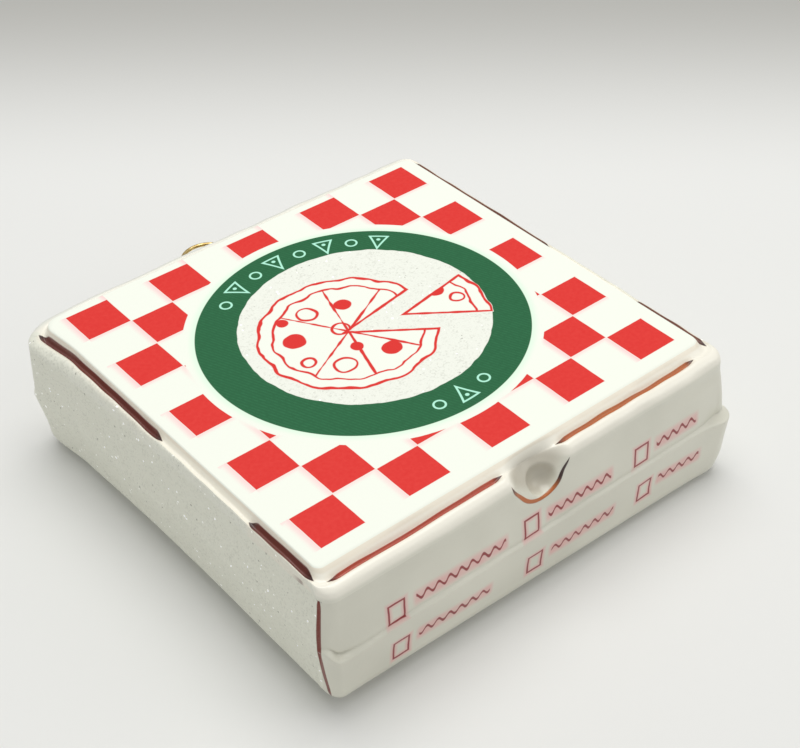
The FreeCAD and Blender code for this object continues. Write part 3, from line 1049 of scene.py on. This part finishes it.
# painted shade: the back edge of the rim is laid greyer
rolled.lay(rolled.y.step(36.6, 38.6), BACK_RIM_SHADE)
on_side = (abs(rolled.x) - HALF_X - abs(rolled.y) + HALF_Y + rolled.quick * 0.3).outside(0.9, 0.3)
outside = (abs(rolled.x) + rolled.slow * 0.15).outside(39.3, 0.2)
bead = rolled.y.inside(-35.6, 0.8) * rolled.z.outside(22.2, 0.5)
rolled.lay_glitter(on_side * outside * (1.0 - bead), GLITTER_GROUND, 0.35)
flare = rolled.y.step(*PULL_RUN) * CORNER_PULL
cloudy = rolled.slow.step(-0.5, 0.5)
ways = {"left": (rolled.y, rolled.x + STROKE_LINE["left"] + flare, cloudy),
        "right": (rolled.y, rolled.x - STROKE_LINE["right"], cloudy),
        "front": (rolled.x, rolled.y + STROKE_LINE["front"], rolled.x.step(-12.0, 14.0))}
for name, (along, across, blend) in ways.items():
    # each side's tint: lit copper on the front, painted shade on the sides
    tint = rolled.mix(blend, *STROKE_TINTS_LIT_AND_SHADED[name])
    for run in STROKES[name]:
        paint, dab, halo = rolled.place(painted_stroke, along, across, *run, STROKE_HALF[name],
                                        rolled.slow, rolled.slow)
        rolled.lay(halo * 0.55, CREAM)
        rolled.lay_paint(paint, rolled.mix(dab, tint, DARK_DAB))
lay_arc(rolled)
rolled.close()

# %% [markdown]
# ## The front
# Six tick boxes stand in two rows on the front, each with a wavy rule beside it, in thin red that spread
# to a pink glow. Two painted lines cross the front: an arc round the lower rim of the thumb notch, and a
# thin line down the near corner.

# %% Tick boxes and rules
BOX_HALF = (1.38, 1.66)
WAVE_LENGTH = 2.1
TICK_BOXES = ((-28.15, 14.2), (-2.45, 14.45), (20.85, 14.75), (-27.3, 6.2), (-1.45, 6.35), (22.2, 6.7))
RULES = ((-24.6, -7.7, 14.6), (1.0, 14.2, 14.7), (24.2, 33.2, 15.2),
         (-24.0, -10.6, 6.9), (2.0, 15.2, 6.8), (25.4, 34.4, 7.3))


def front_print_group():
    """Ink and glow of the boxes and rules from x and z in mm. A rule is a thin band along a sine wave
    between two ends."""
    tree, (x, z, waver) = open_group("front_print", "X", "Z", "Waver")
    wobble = waver * 0.12
    inks, glows = [], []
    for cx, cz in TICK_BOXES:
        reach = (abs(x - cx) - BOX_HALF[0]).either(abs(z - cz) - BOX_HALF[1]) + wobble
        inks.append(abs(reach).inside(0.17, 0.07))
        glows.append(abs(reach).step(0.95, 0.1))
    for start, end, cz in RULES:
        to_middle = abs(x - (start + end) / 2)
        half = (end - start) / 2
        wave = (x * (2 * math.pi / WAVE_LENGTH)).math("SINE") * 0.5 + cz
        off = abs(z - wave) + wobble
        inks.append(off.inside(0.27, 0.1) * to_middle.inside(half, 0.1))
        glows.append(abs(z - cz).step(1.9, 0.5) * to_middle.inside(half + 0.4, 0.5))
    return close_group(tree, {"Ink": reduce(Field.either, inks), "Glow": reduce(Field.either, glows)})


# %% Front, sides and back


def pearl_finish(name):
    """Pearly lacquer with slow clouds in it."""
    finish = Finish(name, PEARL, 0.34, 0.5, 0.3)
    finish.lay(finish.slow.step(-0.6, 0.6), PEARL_SHADE)
    return finish


front_finish = pearl_finish("lacquered_front")
ink, ink_glow = front_finish.place(front_print_group(), front_finish.x, front_finish.z, front_finish.quick)
front_finish.lay(ink_glow * (front_finish.quick * 0.25 + 0.62), FRONT_GLOW)
front_finish.lay(ink, FRONT_INK)
lay_arc(front_finish)
lay_corner_line(front_finish)
front_finish.close()

side_finish = Finish("glittered_side", GLITTER_GROUND, 0.5, 0.35)
side_finish.lay_glitter(side_finish.z.outside(-1.0), GLITTER_GROUND, 0.35)
lay_corner_line(side_finish)
side_finish.close()

pearl_finish("lacquered_back").close()

# %% Which face has which material
PANEL, RIM, FRONT, SIDE, BACK = range(5)
PANEL_STARTS = 7  # rings before the end of the slope
wall_zone = np.select([sides[:, 0] >= 0.1, sides[:, 1] > 0.5], [FRONT, SIDE], BACK)
zone = np.tile(wall_zone, (len(rows) - 1, 1))
zone[:len(BOTTOM_SIZES)] = BACK
zone[wall_rows - 1:] = RIM
zone[wall_rows + RIM_ROWS + SLOPE_ROWS - PANEL_STARTS:] = PANEL
neck_faces = len(bubble.data.polygons) - zone.size - 2 * columns
zones = np.concatenate([zone.ravel(), np.repeat([BACK, PANEL, BACK], [columns, columns, neck_faces])])
bubble.data.polygons.foreach_set("material_index", zones.astype(np.int32))

# %% [markdown]
# ## Gold hanger
# The hanger is one springy wire, whose two legs spread inside the neck and hold it there. It is a round
# section carried along a middle line: straight legs, a short bend outwards, and most of a circle.

# %% Wire
WIRE_RADIUS = 0.35
LEG_HOLE = np.array([1.9, 43.35])  # where a leg passes the cap
LEG_GRIP = np.array([3.1, 38.2])  # where it presses on the neck
LEG_INSIDE = 9.0
LOOP_MIDDLE = np.array([0.0, 48.6])
LOOP_RADIUS = 4.7
LOOP_BEND = 1.2
LOOP_LEAN = 0.75  # the loop was bent a little to the right
WIRE_AROUND = 20


def arc_points(middle, radius, start, end, count):
    """Points of an arc from one angle to another."""
    t = np.linspace(start, end, count)
    return middle + radius * np.stack([np.cos(t), np.sin(t)], axis=1)


def wire_line():
    """Middle line of the wire in plan: the right leg, its bend, half the loop, and the same mirrored.

    The bend's middle is placed so that its circle touches both the leg's line and the loop."""
    way = (LEG_HOLE - LEG_GRIP) / np.linalg.norm(LEG_HOLE - LEG_GRIP)
    aside = np.array([way[1], -way[0]])
    tip = LEG_GRIP - way * LEG_INSIDE
    start = LEG_HOLE + aside * LOOP_BEND - LOOP_MIDDLE
    along = -start @ way - math.sqrt((start @ way) ** 2 - start @ start + (LOOP_RADIUS + LOOP_BEND) ** 2)
    bend = LOOP_MIDDLE + start + way * along
    leg_end = bend - aside * LOOP_BEND
    leg = tip + (leg_end - tip) * np.linspace(0, 1, 14)[:, None]
    to_leg = math.atan2(*(leg_end - bend)[::-1])
    to_loop = math.atan2(*(LOOP_MIDDLE - bend)[::-1])
    curl = (to_loop - to_leg + math.pi) % (2 * math.pi) - math.pi
    turned = arc_points(bend, LOOP_BEND, to_leg, to_leg + curl, 12)[1:]
    loop_start = math.atan2(*(bend - LOOP_MIDDLE)[::-1])
    loop = arc_points(LOOP_MIDDLE, LOOP_RADIUS, loop_start, math.pi / 2, 70)[1:]
    half = np.concatenate([leg, turned, loop])
    return np.concatenate([half, half[-2::-1] * [-1, 1]])


line = wire_line()
line[:, 0] += LOOP_LEAN * smooth_step(line[:, 1], 43.5, 47.5)
forward = np.gradient(line, axis=0)
forward = forward / np.linalg.norm(forward, axis=1)[:, None]
beside = np.stack([forward[:, 1], -forward[:, 0]], axis=1)
t = np.linspace(0, 2 * math.pi, WIRE_AROUND, endpoint=False)
tube = np.stack([line[:, None, 0] + WIRE_RADIUS * beside[:, None, 0] * np.cos(t),
                 line[:, None, 1] + WIRE_RADIUS * beside[:, None, 1] * np.cos(t),
                 NECK_Z + WIRE_RADIUS * np.sin(t) + 0 * line[:, None, 0]], axis=-1).reshape(-1, 3)
ends = np.array([[*line[0], NECK_Z], [*line[-1], NECK_Z]])
last_ring = (len(line) - 1) * WIRE_AROUND
wire = mesh_piece("gold_wire", np.concatenate([tube, ends]),
                  [grid_faces(len(line), WIRE_AROUND), cap_faces(len(tube), 0, WIRE_AROUND, False),
                   cap_faces(len(tube) + 1, last_ring, WIRE_AROUND, True)])
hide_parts("hanger_wire")

# %% [markdown]
# The cap's solid is already right, so it stays. Cap and wire get the same metal, with a little tarnish.

# %% Gold
GOLD_LIGHT = linear("e4cb8e")
GOLD_DARK = linear("ae9154")

gold, gold_tree, gold_shader = plain_material("gold", linear("c9a45c"), 0.28, 1.0)
tarnish = noise(gold_tree, own_position(gold_tree), 900.0, 3.0)
join(mix(gold_tree, tarnish.step(0.35, 0.75), GOLD_LIGHT, GOLD_DARK), gold_shader["Base Color"])
join(tarnish * 0.25 + 0.18, gold_shader["Roughness"])
wire.data.materials.append(gold)
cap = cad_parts["ornament_cap"]
for cap_slot in cap.material_slots:
    cap_slot.material = gold
if not cap.material_slots:
    cap.data.materials.append(gold)
